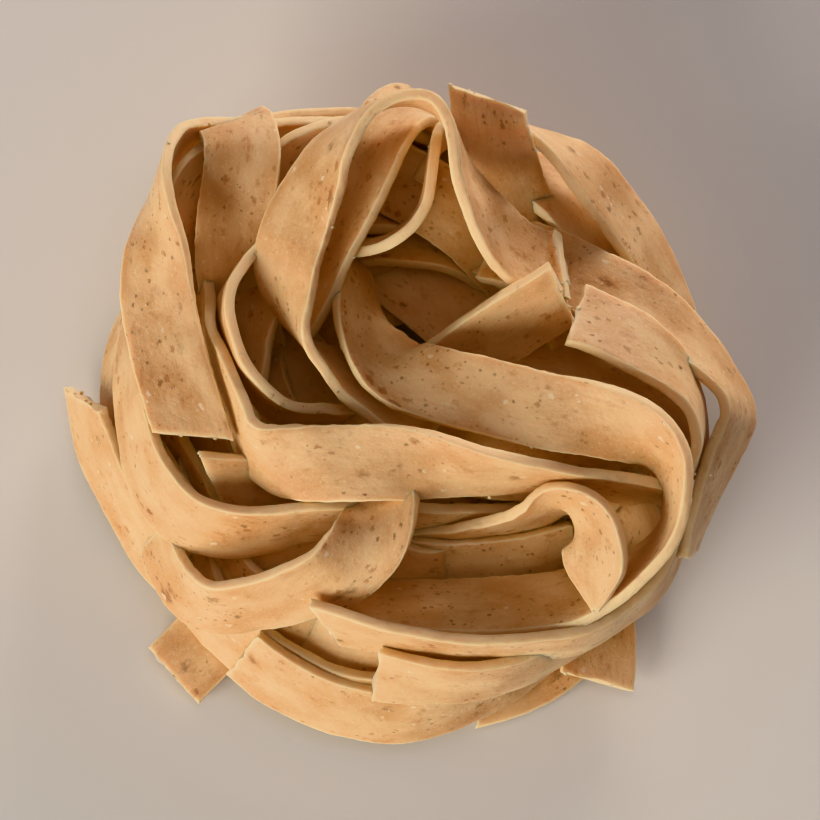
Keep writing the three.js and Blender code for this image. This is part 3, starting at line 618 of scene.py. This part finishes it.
def ribbon_tree():
    """Sweeps the cut section along every route, uneven as dough dries, and ragged where it was cut."""
    tree = bpy.data.node_groups.new("Pasta ribbon sweep", "GeometryNodeTree")
    sockets = tree.interface
    sockets.new_socket("Geometry", in_out="INPUT", socket_type="NodeSocketGeometry")
    sockets.new_socket("Section", in_out="INPUT", socket_type="NodeSocketObject")
    for name in ("Warp", "Thickness Change", "Edge Roughness", "Cut Raggedness"):
        sockets.new_socket(name, in_out="INPUT", socket_type="NodeSocketFloat").subtype = "DISTANCE"
    sockets.new_socket("Material", in_out="INPUT", socket_type="NodeSocketMaterial")
    sockets.new_socket("Geometry", in_out="OUTPUT", socket_type="NodeSocketGeometry")
    given = tree.nodes.new("NodeGroupInput").outputs

    rail = add_node(tree, "GeometryNodeMeshToCurve", links={"Mesh": given["Geometry"]}).outputs[0]
    where = tree.nodes.new("GeometryNodeInputPosition").outputs[0]
    rail = stored(tree, "middle", "FLOAT_VECTOR", rail, where)
    section = add_node(tree, "GeometryNodeObjectInfo", links={"Object": given["Section"]})
    outline = add_node(tree, "GeometryNodeMeshToCurve", links={"Mesh": section.outputs["Geometry"]})
    sweep = add_node(
        tree,
        "GeometryNodeCurveToMesh",
        values={"Fill Caps": True},
        links={"Curve": rail, "Profile Curve": outline.outputs[0]},
    ).outputs[0]
    # the sweep leaves every face pointing into the dough, so they are turned outward
    sweep = add_node(tree, "GeometryNodeFlipFaces", links={"Mesh": sweep}).outputs[0]

    across_at = named(tree, "section_x", "FLOAT")
    deep_at = named(tree, "section_z", "FLOAT")
    run = named(tree, "dough_run", "FLOAT")
    end_pull = named(tree, "end_pull", "FLOAT")
    within = {"X": run, "Y": across_at}
    dough = add_node(tree, "ShaderNodeCombineXYZ", links={**within, "Z": deep_at}).outputs[0]
    sheet = add_node(tree, "ShaderNodeCombineXYZ", links=within).outputs[0]
    edge_share = add_node(
        tree,
        "ShaderNodeMapRange",
        {"clamp": True},
        {"From Min": 3.2 * MM, "From Max": 4.0 * MM},
        {"Value": maths(tree, "ABSOLUTE", across_at)},
    ).outputs[0]

    # the whole ribbon warps as it dries, its thickness changes where the rollers pressed unevenly,
    # and its long edges are a little rough from the cutter
    warp = times(tree, swing(tree, sheet, 9.0, 1.0), given["Warp"])
    roller = times(tree, swing(tree, sheet, 2.6, 2.0), given["Thickness Change"])
    rough = times(tree, times(tree, swing(tree, dough, 0.9, 3.0), given["Edge Roughness"]), edge_share)
    deep = maths(tree, "ADD", deep_at, warp)
    deep = maths(tree, "MULTIPLY_ADD", roller, maths(tree, "SIGN", deep_at), deep)
    wide = maths(tree, "ADD", times(tree, across_at, named(tree, "narrow", "FLOAT")), rough)
    torn = times(tree, times(tree, swing(tree, dough, 0.8, 3.0), given["Cut Raggedness"]), end_pull)
    along = maths(tree, "ADD", torn, times(tree, named(tree, "cut_slant", "FLOAT"), across_at))

    spot = named(tree, "middle", "FLOAT_VECTOR")
    for way, amount in (("across", wide), ("facing", deep), ("heading", along)):
        spot = moved(tree, spot, named(tree, way, "FLOAT_VECTOR"), amount)
    links = {"Geometry": sweep, "Position": spot}
    placed = add_node(tree, "GeometryNodeSetPosition", links=links).outputs[0]
    raw = maths(tree, "POWER", maths(tree, "ABSOLUTE", end_pull), 4.0)
    placed = stored(tree, "dough", "FLOAT_VECTOR", placed, dough)
    placed = stored(tree, "dough_cut", "FLOAT", placed, raw)
    finished(tree, placed, given["Material"])
    return tree


def crumb_tree():
    """Lumps of dough of many sizes, one on every point, no two of the same shape."""
    tree = bpy.data.node_groups.new("Dough crumbs", "GeometryNodeTree")
    sockets = tree.interface
    sockets.new_socket("Geometry", in_out="INPUT", socket_type="NodeSocketGeometry")
    for name in ("Smallest", "Largest"):
        sockets.new_socket(name, in_out="INPUT", socket_type="NodeSocketFloat").subtype = "DISTANCE"
    sockets.new_socket("Seed", in_out="INPUT", socket_type="NodeSocketInt")
    sockets.new_socket("Material", in_out="INPUT", socket_type="NodeSocketMaterial")
    sockets.new_socket("Geometry", in_out="OUTPUT", socket_type="NodeSocketGeometry")
    given = tree.nodes.new("NodeGroupInput").outputs
    seed = given["Seed"]
    lump = add_node(tree, "GeometryNodeMeshIcoSphere", None, {"Radius": 1.0, "Subdivisions": 3}).outputs[0]
    turned = add_node(
        tree,
        "FunctionNodeRandomValue",
        {"data_type": "FLOAT_VECTOR"},
        {1: (6.28, 6.28, 6.28)},
        {"Seed": seed},
    ).outputs[0]
    sized = add_node(
        tree,
        "FunctionNodeRandomValue",
        {"data_type": "FLOAT"},
        links={2: given["Smallest"], 3: given["Largest"], "Seed": seed},
    ).outputs[1]
    stood = add_node(
        tree,
        "GeometryNodeInstanceOnPoints",
        links={"Points": given["Geometry"], "Instance": lump, "Rotation": turned, "Scale": sized},
    ).outputs[0]
    real = add_node(tree, "GeometryNodeRealizeInstances", links={"Geometry": stood}).outputs[0]
    where = tree.nodes.new("GeometryNodeInputPosition").outputs[0]
    outward = tree.nodes.new("GeometryNodeInputNormal").outputs[0]
    swell = times(tree, times(tree, swing(tree, where, 0.22, 2.0), given["Smallest"]), 0.8)
    bulge = scaled(tree, outward, swell)
    lumpy = add_node(tree, "GeometryNodeSetPosition", links={"Geometry": real, "Offset": bulge}).outputs[0]
    finished(tree, stored(tree, "dough", "FLOAT_VECTOR", lumpy, where), given["Material"])
    return tree


# Shares of the crumbs at the cut ends and on the faces, where the rest cling to the long cut edges
CRUMBS_AT_ENDS = 0.3
CRUMBS_ON_FACES = 0.15


def crumb_places(count, settings):
    """Places for crumbs: most along the cut edges, some at the cut ends, a few on the faces."""
    chance = random.Random(57)
    settled = all_ribbons()
    half = settings.ribbon_width / MM / 2
    deep = settings.ribbon_thickness / MM / 2
    places = []
    while len(places) < count:
        kind = chance.random()
        at_end = kind < CRUMBS_AT_ENDS
        name = chance.choice(tuple(CUT_SLANTS) if at_end else UPPER)
        path = follow(settled[name], settings.step / MM)
        spot = chance.randrange(len(path["run"]))
        aside = chance.choice((-1, 1)) * half
        out = chance.uniform(-deep, deep)
        slant = 0.0
        if at_end:
            spot = 0 if CUT_SLANTS[name][0] else len(path["run"]) - 1
            aside = chance.uniform(-half, half)
            slant = sum(CUT_SLANTS[name]) * aside
        elif kind > 1 - CRUMBS_ON_FACES:
            aside = chance.uniform(-half, half)
            out = deep * (1 if path["facing"][spot][2] > 0 else -1)
        place = (
            path["middle"][spot]
            + path["across"][spot] * aside * path["narrow"][spot]
            + path["facing"][spot] * out
            + path["heading"][spot] * slant
        )
        places.append(Vector(place) * MM)
    return places


def set_input(modifier, name, value):
    for item in modifier.node_group.interface.items_tree:
        if item.item_type == "SOCKET" and item.in_out == "INPUT" and item.name == name:
            modifier[item.identifier] = value
            return
    raise KeyError(name)


def made_plain(piece, drop=()):
    """Turns what the node tree makes into a plain mesh, and takes the tree off the piece."""
    graph = bpy.context.evaluated_depsgraph_get()
    mesh = bpy.data.meshes.new_from_object(piece.evaluated_get(graph), depsgraph=graph)
    piece.modifiers.clear()
    for name in drop:
        layer = mesh.attributes.get(name)
        if layer is not None:
            mesh.attributes.remove(layer)
    old = piece.data
    piece.data = mesh
    bpy.data.meshes.remove(old)
    if len(mesh.polygons) == 0:
        raise RuntimeError(piece.name + " came out empty")
    return piece


def all_ribbons():
    """Every ribbon by name, once they have settled: the listed ones and the wound turns."""
    if SETTLED:
        return SETTLED
    chance = random.Random(31)
    routes = dict(STRANDS)
    for number, (share, height, roll, turns, begins) in enumerate(WOUND_TURNS):
        start = math.radians(begins)
        routes[f"turn {number}"] = wound_turn(share, height, roll, turns, start, chance)
    rows = [even_rows(route, SETTLE_STEP) for route in routes.values()]
    loose = (1.0, 1.0, 1.0)
    freedom = [FREEDOM.get(name, LAID_FREEDOM) if name in STRANDS else loose for name in routes]
    for name, settled in zip(routes, settle(rows, freedom)):
        SETTLED[name] = [tuple(row) for row in settled]
    return SETTLED


SETTLED = {}
WORKING_LAYERS = (
    "across", "facing", "heading", "narrow", "dough_run", "end_pull", "cut_slant", "middle",
    "section_x", "section_z",
)


def sweep_ribbons(name, ribbons, seed, step):
    settings = bpy.context.scene.nest_sizes
    piece = route_mesh(name, ribbons, step, random.Random(seed))
    section = section_object(settings)
    modifier = piece.modifiers.new("Ribbon sweep", "NODES")
    modifier.node_group = bpy.data.node_groups.get("Pasta ribbon sweep") or ribbon_tree()
    inputs = {
        "Section": section,
        "Warp": settings.warp,
        "Thickness Change": settings.thickness_change,
        "Edge Roughness": settings.edge_roughness,
        "Cut Raggedness": settings.cut_raggedness,
        "Material": pasta_material(),
    }
    for socket, value in inputs.items():
        set_input(modifier, socket, value)
    made_plain(piece, WORKING_LAYERS)
    bpy.data.objects.remove(section)
    belongs(piece)
    return piece


def belongs(piece):
    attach(piece, BODY)
    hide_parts(NODE)


# ---------------------------------------------------------------- material


PASTA = "Dried wholewheat dough, rolled and cut"


def pasta_material():
    """Wholewheat dough, rolled, cut and dried: matt, and lit through where it is thin."""
    found = bpy.data.materials.get(PASTA)
    if found:
        return found
    colours = bpy.context.scene.nest_colours
    material = bpy.data.materials.new(PASTA)
    material.use_nodes = True
    tree = material.node_tree
    tree.nodes.clear()
    dough = add_node(tree, "ShaderNodeAttribute", {"attribute_name": "dough"}).outputs["Vector"]

    def stretched(length, width, depth, turn=0.0):
        scale = tuple(1 / (size * MM) for size in (length, width, depth))
        values = {"Scale": scale, "Rotation": (0.0, 0.0, turn)}
        return add_node(tree, "ShaderNodeMapping", None, values, {"Vector": dough}).outputs[0]

    def ramp(value, low, high):
        return add_node(
            tree, "ShaderNodeMapRange", {"clamp": True, "interpolation_type": "SMOOTHSTEP"},
            {"From Min": low, "From Max": high}, {"Value": value},
        ).outputs[0]

    def product(first, second):
        return times(tree, first, second)

    def mix(share, first, second):
        node = add_node(tree, "ShaderNodeMix", {"data_type": "RGBA"}, None, {"Factor": share})
        for place, value in ((6, first), (7, second)):
            if isinstance(value, tuple):
                node.inputs[place].default_value = value
            else:
                tree.links.new(value, node.inputs[place])
        return node.outputs[2]

    def noise(vector, detail, roughness=0.55):
        return add_node(
            tree, "ShaderNodeTexNoise", None, {"Scale": 1.0, "Detail": detail, "Roughness": roughness},
            {"Vector": vector},
        ).outputs[0]

    def flecks(length, width, turn, share, edge):
        """Scattered flecks about length by width: some cells of the pattern hold one, most are bare."""
        place = stretched(length, width, width, turn)
        values = {"Scale": 1.1, "Detail": 3.0, "Roughness": 0.7}
        drift = add_node(tree, "ShaderNodeTexNoise", None, values, {"Vector": place}).outputs["Color"]
        place = add_node(
            tree,
            "ShaderNodeVectorMath",
            {"operation": "MULTIPLY_ADD"},
            {1: (1.8, 1.8, 1.8)},
            {0: drift, 2: place},
        ).outputs[0]
        torn = noise(place, 4.0, 0.7)
        values = {"Scale": 0.5, "Randomness": 1.0}
        cells = add_node(tree, "ShaderNodeTexVoronoi", {"feature": "F1"}, values, {"Vector": place})
        lot = add_node(tree, "ShaderNodeSeparateColor", links={"Color": cells.outputs["Color"]}).outputs
        chosen = maths(tree, "LESS_THAN", lot[0], share)
        size = add_node(
            tree, "ShaderNodeMapRange", None, {"To Min": -0.22, "To Max": 0.12}, {"Value": lot[1]}
        ).outputs[0]
        reach = maths(tree, "MULTIPLY_ADD", torn, 0.9, size)
        near = maths(tree, "SUBTRACT", reach, cells.outputs["Distance"])
        return product(ramp(near, 0.0, edge), chosen), lot[2]

    # flour and bran don't mix evenly: soft clouds some millimetres across, drawn out along the ribbon
    clouds = noise(stretched(7.0, 4.0, 3.0), 3.0)
    streaks = noise(stretched(9.0, 0.55, 0.8), 2.0)
    grain = noise(stretched(0.35, 0.3, 0.3), 3.0, 0.65)
    crowds = ramp(noise(stretched(11.0, 6.0, 5.0), 1.0), 0.34, 0.6)
    base = mix(ramp(clouds, 0.32, 0.68), linear(colours.dough), linear(colours.dough_deep))
    base = mix(product(ramp(streaks, 0.5, 0.75), 0.25), base, linear(colours.dough_deep))
    base = mix(product(ramp(grain, 0.52, 0.72), 0.3), base, linear(colours.flour))

    # bran: soft russet patches under the surface, a few large flakes, many small ones, and dark specks; the
    # few small pale specks in the flour colour are painted glints
    under = product(ramp(noise(stretched(2.0, 1.3, 1.2, 0.5), 4.0, 0.65), 0.56, 0.74), 0.42)
    large, large_tone = flecks(1.5, 0.9, 0.25, 0.11, 0.42)
    small, small_tone = flecks(0.62, 0.4, -0.15, 0.2, 0.3)
    fine, _ = flecks(0.26, 0.2, 0.4, 0.13, 0.2)
    # painted glints: sparse small pale specks that stand in for highlights on the surface
    painted_glints, _ = flecks(0.42, 0.28, 0.9, 0.025, 0.2)
    base = mix(under, base, linear(colours.bran))
    bran, dark = linear(colours.bran), linear(colours.bran_dark)
    base = mix(product(large, 0.58), base, mix(large_tone, bran, dark))
    small = product(small, crowds)
    base = mix(product(small, 0.6), base, mix(small_tone, bran, dark))
    base = mix(product(product(fine, crowds), 0.6), base, dark)
    # the painted glints are mixed in here in the flour colour
    base = mix(product(painted_glints, 0.6), base, linear(colours.flour))

    # where the cutter went through, the dough is raw and rough, and paler than the rolled faces; along the
    # long edges the pale colour is also a painted highlight, for the light that those edges catch
    aside = add_node(tree, "ShaderNodeSeparateXYZ", links={"Vector": dough}).outputs[1]
    edge = ramp(maths(tree, "ABSOLUTE", aside), 3.7 * MM, 3.97 * MM)
    cut = add_node(tree, "ShaderNodeAttribute", {"attribute_name": "dough_cut"}).outputs["Fac"]
    base = mix(product(maths(tree, "MAXIMUM", edge, cut), 0.7), base, linear(colours.cut))

    # the rolled faces are dusty and faintly pitted, and the flakes stand a hair proud
    pits = noise(stretched(0.5, 0.42, 0.4), 5.0, 0.6)
    swell = noise(stretched(3.2, 2.4, 2.0), 2.0)
    height = maths(tree, "MULTIPLY_ADD", pits, 0.55, swell)
    height = maths(tree, "MULTIPLY_ADD", small, 0.12, height)
    bump = add_node(
        tree, "ShaderNodeBump", None, {"Strength": 0.75, "Distance": 0.2 * MM}, {"Height": height}
    ).outputs[0]

    shader = add_node(
        tree,
        "ShaderNodeBsdfPrincipled",
        {"subsurface_method": "RANDOM_WALK"},
        {
            "Roughness": 0.55,
            "IOR": 1.45,
            "Specular IOR Level": 0.5,
            "Sheen Weight": 0.06,
            "Sheen Roughness": 0.5,
            "Subsurface Weight": colours.glow,
            "Subsurface Radius": (1.0, 0.62, 0.46),
            "Subsurface Scale": 1.5 * MM,
            "Subsurface Anisotropy": 0.0,
        },
        {"Base Color": base, "Normal": bump},
    )
    add_node(tree, "ShaderNodeOutputMaterial", links={"Surface": shader.outputs[0]})
    return material


# ---------------------------------------------------------------- settings


class NestSizes(bpy.types.PropertyGroup):
    """Sizes of the pasta and of its unevenness."""

    ribbon_width: bpy.props.FloatProperty(
        name="Ribbon width", description="Width of the cut ribbon", default=8.0 * MM,
        subtype="DISTANCE", unit="LENGTH",
    )
    ribbon_thickness: bpy.props.FloatProperty(
        name="Ribbon thickness", description="Thickness of the rolled dough once dry", default=1.15 * MM,
        subtype="DISTANCE", unit="LENGTH",
    )
    edge_rounding: bpy.props.FloatProperty(
        name="Edge rounding", description="How far in the cut edges are rounded off", default=0.12 * MM,
        subtype="DISTANCE", unit="LENGTH",
    )
    step: bpy.props.FloatProperty(
        name="Step", description="Distance along a ribbon between two sections of its mesh",
        default=0.6 * MM, subtype="DISTANCE", unit="LENGTH",
    )
    warp: bpy.props.FloatProperty(
        name="Warp", description="How far a ribbon warps out of its smooth path as it dries",
        default=0.28 * MM, subtype="DISTANCE", unit="LENGTH",
    )
    thickness_change: bpy.props.FloatProperty(
        name="Thickness change", description="How much thicker and thinner the rolled dough gets",
        default=0.05 * MM, subtype="DISTANCE", unit="LENGTH",
    )
    edge_roughness: bpy.props.FloatProperty(
        name="Edge roughness", description="How far the long cut edges are off straight", default=0.11 * MM,
        subtype="DISTANCE", unit="LENGTH",
    )
    cut_raggedness: bpy.props.FloatProperty(
        name="Cut raggedness", description="How far the cut ends are torn", default=0.4 * MM,
        subtype="DISTANCE", unit="LENGTH",
    )
    crumb_count: bpy.props.IntProperty(
        name="Crumbs", description="Crumbs of dough that cling to the ribbons", default=110, min=1, max=400
    )
    crumb_smallest: bpy.props.FloatProperty(
        name="Smallest crumb", description="Half the width of the smallest crumbs", default=0.08 * MM,
        subtype="DISTANCE", unit="LENGTH",
    )
    crumb_largest: bpy.props.FloatProperty(
        name="Largest crumb", description="Half the width of the largest crumbs", default=0.26 * MM,
        subtype="DISTANCE", unit="LENGTH",
    )


class NestColours(bpy.types.PropertyGroup):
    """Colours of the dough and of what is in it."""

    dough: bpy.props.StringProperty(
        name="Dough", description="Colour of the plain dough", default="#e9c698"
    )
    dough_deep: bpy.props.StringProperty(
        name="Deeper dough", description="Colour where the dough holds more bran", default="#d3a474"
    )
    # this flour colour also paints the glints, the painted highlights in the pasta material
    flour: bpy.props.StringProperty(
        name="Flour", description="Colour of the palest flour", default="#f2e6c8"
    )
    # this cut colour is also a painted highlight along the long cut edges
    cut: bpy.props.StringProperty(
        name="Cut dough", description="Colour of the raw cut edges", default="#f5dcb2"
    )
    bran: bpy.props.StringProperty(
        name="Bran", description="Colour of the russet bran flakes", default="#ac6330"
    )
    bran_dark: bpy.props.StringProperty(
        name="Dark bran", description="Colour of the darkest bran", default="#70401f"
    )
    glow: bpy.props.FloatProperty(
        name="Glow", description="Share of the light that goes into the dough and comes out elsewhere",
        default=0.65, min=0.0, max=1.0, subtype="FACTOR",
    )


class StageSettings(bpy.types.PropertyGroup):
    """The floor, the lights and the camera."""

    floor_colour: bpy.props.StringProperty(
        name="Floor", description="Colour of the plain floor", default="#e4e2df"
    )
    camera_distance: bpy.props.FloatProperty(
        name="Camera distance", description="From the camera to the middle of the nest", default=0.8,
        subtype="DISTANCE", unit="LENGTH",
    )
    camera_elevation: bpy.props.FloatProperty(
        name="Camera elevation", description="Angle of the view above the floor", default=math.radians(80),
        subtype="ANGLE", unit="ROTATION",
    )
    view_width: bpy.props.FloatProperty(
        name="View width", description="Width of the picture at the nest", default=86.1 * MM,
        subtype="DISTANCE", unit="LENGTH",
    )
    key_power: bpy.props.FloatProperty(
        name="Key light", description="Power of the main light", default=7.2, subtype="POWER", unit="POWER"
    )
    back_power: bpy.props.FloatProperty(
        name="Back light", description="Power of the low light that comes through the dough from behind",
        default=7.0, subtype="POWER", unit="POWER",
    )
    fill_power: bpy.props.FloatProperty(
        name="Fill light", description="Power of the weak light from above", default=0.8,
        subtype="POWER", unit="POWER",
    )


# ---------------------------------------------------------------- pieces

UPPER = (
    "left_front", "left_top", "lit_strip", "arch", "thin_left", "inner_left", "thin_top", "top_end",
    "right_broad", "right_outer", "right_dark", "hollow_end", "right_end", "great_s", "fold_band",
)


class NEST_OT_upper_ribbons(bpy.types.Operator):
    """Sweeps the ribbons that lie on top, round the hollow and over the rim"""

    bl_idname = "nest.upper_ribbons"
    bl_label = "Upper ribbons"

    def execute(self, context):
        settled = all_ribbons()
        ribbons = [(name, settled[name]) for name in UPPER]
        sweep_ribbons("upper_ribbons", ribbons, 11, context.scene.nest_sizes.step)
        return {"FINISHED"}


class NEST_OT_lower_ribbons(bpy.types.Operator):
    """Sweeps the ribbons that lie lower, along the front and out to the cut tabs"""

    bl_idname = "nest.lower_ribbons"
    bl_label = "Lower ribbons"

    def execute(self, context):
        settled = all_ribbons()
        ribbons = [(name, settled[name]) for name in STRANDS if name not in UPPER]
        sweep_ribbons("lower_ribbons", ribbons, 12, context.scene.nest_sizes.step)
        return {"FINISHED"}


# For each wound turn: how far out it runs from the hollow's wall, as a share of the way, its height,
# its roll, how many times it goes round, and the angle where it begins
WOUND_TURNS = (
    (0.91, 5.0, 66, 1.1, 50),
    (0.87, 8.4, 58, 1.1, 300),
    (0.80, 3.6, 38, 1.2, 20),
    (0.76, 7.4, 50, 1.2, 75),
    (0.62, 2.2, 16, 1.2, 310),
    (0.60, 5.6, 30, 1.1, 60),
    (0.56, 9.4, 40, 1.1, 330),
    (0.42, 1.4, 8, 1.2, 45),
    (0.40, 4.6, 22, 1.1, 80),
    (0.38, 8.0, 34, 1.1, 320),
    (0.22, 3.4, -32, 1.1, 30),
    (0.20, 8.0, -50, 1.1, 70),
    (0.72, 0.9, 4, 1.0, 55),
    (0.50, 8.6, 12, 1.0, 315),
)


class NEST_OT_wound_turns(bpy.types.Operator):
    """Winds the turns that fill the nest under the ribbons that show"""

    bl_idname = "nest.wound_turns"
    bl_label = "Wound turns"

    def execute(self, context):
        settled = all_ribbons()
        ribbons = [(name, settled[name]) for name in settled if name not in STRANDS]
        sweep_ribbons("wound_turns", ribbons, 13, 1.1 * MM)
        return {"FINISHED"}


class NEST_OT_crumbs(bpy.types.Operator):
    """Scatters the crumbs that cling to cut edges and ends"""

    bl_idname = "nest.crumbs"
    bl_label = "Crumbs"

    def execute(self, context):
        settings = context.scene.nest_sizes
        mesh = bpy.data.meshes.new("crumbs")
        mesh.from_pydata(crumb_places(settings.crumb_count, settings), [], [])
        piece = bpy.data.objects.new("crumbs", mesh)
        context.scene.collection.objects.link(piece)
        modifier = piece.modifiers.new("Crumbs", "NODES")
        modifier.node_group = crumb_tree()
        set_input(modifier, "Smallest", settings.crumb_smallest)
        set_input(modifier, "Largest", settings.crumb_largest)
        set_input(modifier, "Seed", 4)
        set_input(modifier, "Material", pasta_material())
        made_plain(piece)
        belongs(piece)
        return {"FINISHED"}


# The floor's width, the height of the nest's middle, how far the camera aims beside and above it, and
# the width of the camera's sensor in millimetres
FLOOR_WIDTH = 3.0
MIDDLE_HEIGHT = 16 * MM
AIM_ASIDE = -2.73 * MM
AIM_UP = 0.52 * MM
SENSOR_WIDTH = 36.0
# Each light: its name, the way to it from the nest, its distance, its width and its colour
LIGHTS = (
    ("key light", (-0.68, -0.66, 0.3), 0.75, 0.62, "#fff3de"),
    ("back light", (0.3, 0.9, 0.15), 0.9, 0.4, "#ffeedc"),
    ("fill light", (0.1, 0.15, 1.0), 0.9, 0.5, "#f4e8f6"),
)


class NEST_OT_stage(bpy.types.Operator):
    """Lays the floor and sets the lights and the camera"""

    bl_idname = "nest.stage"
    bl_label = "Stage"

    def execute(self, context):
        stage = context.scene.nest_stage
        scene = context.scene
        floor_mesh = bpy.data.meshes.new("floor")
        reach = FLOOR_WIDTH / 2
        corners = [(-reach, -reach, 0), (reach, -reach, 0), (reach, reach, 0), (-reach, reach, 0)]
        floor_mesh.from_pydata(corners, [], [(0, 1, 2, 3)])
        floor = bpy.data.objects.new("floor", floor_mesh)
        scene.collection.objects.link(floor)
        paper = bpy.data.materials.new("Matt studio paper")
        paper.use_nodes = True
        shader = paper.node_tree.nodes["Principled BSDF"]
        shader.inputs["Base Color"].default_value = linear(stage.floor_colour)
        shader.inputs["Roughness"].default_value = 0.9
        shader.inputs["Specular IOR Level"].default_value = 0.2
        floor_mesh.materials.append(paper)

        middle = NEST_SHIFT * MM + Vector((0.0, 0.0, MIDDLE_HEIGHT))
        powers = (stage.key_power, stage.back_power, stage.fill_power)
        for (name, way, distance, size, colour), power in zip(LIGHTS, powers):
            data = bpy.data.lights.new(name, "AREA")
            data.shape = "DISK"
            data.size = size
            data.energy = power
            data.color = linear(colour)[:3]
            lamp = bpy.data.objects.new(name, data)
            lamp.location = middle + Vector(way).normalized() * distance
            lamp.rotation_euler = (middle - lamp.location).to_track_quat("-Z", "Y").to_euler()
            scene.collection.objects.link(lamp)

        world = bpy.data.worlds.new("Soft studio surroundings")
        world.use_nodes = True
        sky = world.node_tree.nodes["Background"]
        sky.inputs["Color"].default_value = linear("#f2ecf2")
        sky.inputs["Strength"].default_value = 0.2
        scene.world = world

        elevation = stage.camera_elevation
        toward = Vector((0.0, -math.cos(elevation), math.sin(elevation)))
        upward = Vector((0.0, math.sin(elevation), math.cos(elevation)))
        aim = middle + Vector((AIM_ASIDE, 0.0, 0.0)) + upward * AIM_UP
        lens = bpy.data.cameras.new("camera")
        lens.sensor_width = SENSOR_WIDTH
        lens.lens = SENSOR_WIDTH * stage.camera_distance / stage.view_width
        lens.clip_start = 0.01
        lens.clip_end = 20.0
        camera = bpy.data.objects.new("camera", lens)
        camera.location = aim + toward * stage.camera_distance
        camera.rotation_euler = (aim - camera.location).to_track_quat("-Z", "Y").to_euler()
        scene.collection.objects.link(camera)
        scene.camera = camera
        scene.view_settings.view_transform = "Khronos PBR Neutral"
        return {"FINISHED"}


class NEST_PT_panel(bpy.types.Panel):
    """The nest's sizes, colours and steps"""

    bl_idname = "NEST_PT_panel"
    bl_label = "Pasta Nest"
    bl_space_type = "VIEW_3D"
    bl_region_type = "UI"
    bl_category = "Pasta Nest"

    def draw(self, context):
        for group in (context.scene.nest_sizes, context.scene.nest_colours, context.scene.nest_stage):
            box = self.layout.box()
            for name in group.__annotations__:
                box.prop(group, name)
        for operator in OPERATORS:
            self.layout.operator(operator.bl_idname)


OPERATORS = (
    NEST_OT_upper_ribbons,
    NEST_OT_lower_ribbons,
    NEST_OT_wound_turns,
    NEST_OT_crumbs,
    NEST_OT_stage,
)
CLASSES = (NestSizes, NestColours, StageSettings) + OPERATORS + (NEST_PT_panel,)


def register():
    for kind in CLASSES:
        bpy.utils.register_class(kind)
    bpy.types.Scene.nest_sizes = bpy.props.PointerProperty(type=NestSizes)
    bpy.types.Scene.nest_colours = bpy.props.PointerProperty(type=NestColours)
    bpy.types.Scene.nest_stage = bpy.props.PointerProperty(type=StageSettings)


def unregister():
    del bpy.types.Scene.nest_stage
    del bpy.types.Scene.nest_colours
    del bpy.types.Scene.nest_sizes
    for kind in reversed(CLASSES):
        bpy.utils.unregister_class(kind)


def main():
    register()
    bpy.ops.nest.upper_ribbons()
    bpy.ops.nest.lower_ribbons()
    bpy.ops.nest.wound_turns()
    bpy.ops.nest.crumbs()
    bpy.ops.nest.stage()


if __name__ == "__main__":
    main()
